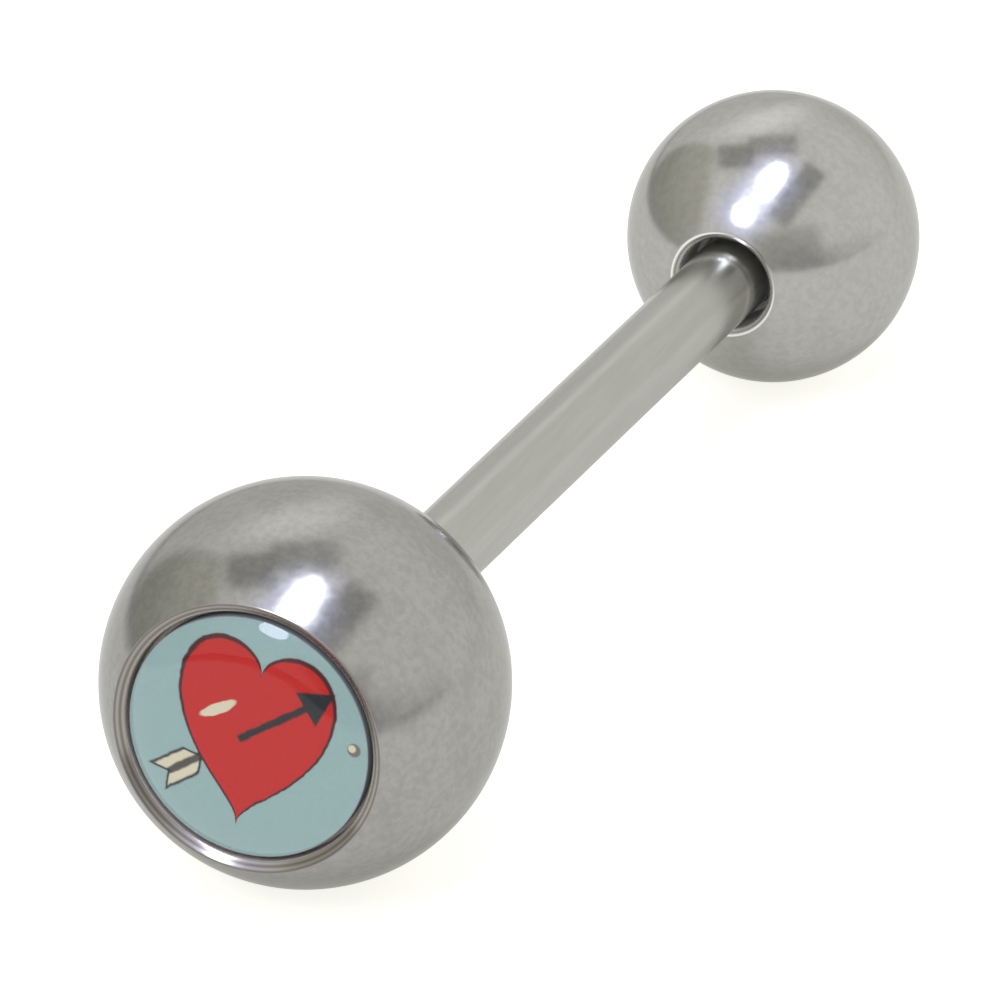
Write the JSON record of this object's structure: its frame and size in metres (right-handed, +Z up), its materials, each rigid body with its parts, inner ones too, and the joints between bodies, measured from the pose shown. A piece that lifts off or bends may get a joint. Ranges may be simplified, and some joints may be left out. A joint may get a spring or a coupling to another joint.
{
  "type": "tongue barbell",
  "caption": "Straight steel tongue barbell: a fixed ball holding a small round picture under a clear dome, and a plain ball that screws off the bar's threaded end.",
  "frame": {"origin": "on the floor, under the middle of the bounding box, with the barbell lying on its two balls", "axes": "+Y along the bar towards the ball that screws off, the picture looks towards -Y, +Z up from the floor; the bar slopes down by 2.4 degrees to the smaller ball"},
  "size_m": [0.008, 0.0304, 0.008],
  "materials": {
    "bar_steel": "satin",
    "ball_steel": "polished",
    "print": "printed",
    "clear_resin": "clear gloss"
  },
  "bodies": {
    "barbell": {"bar": "bar_steel", "picture_ball": "ball_steel", "picture_disc": "print", "clear_dome": "clear_resin"},
    "ball": {"screw_ball": "ball_steel"}
  },
  "joints": [
    {"name": "ball_unscrews", "type": "slide", "parent": "barbell", "child": "ball", "axis": [0, 0.9991, -0.0414], "range_m": [0, 0.008]}
  ]
}
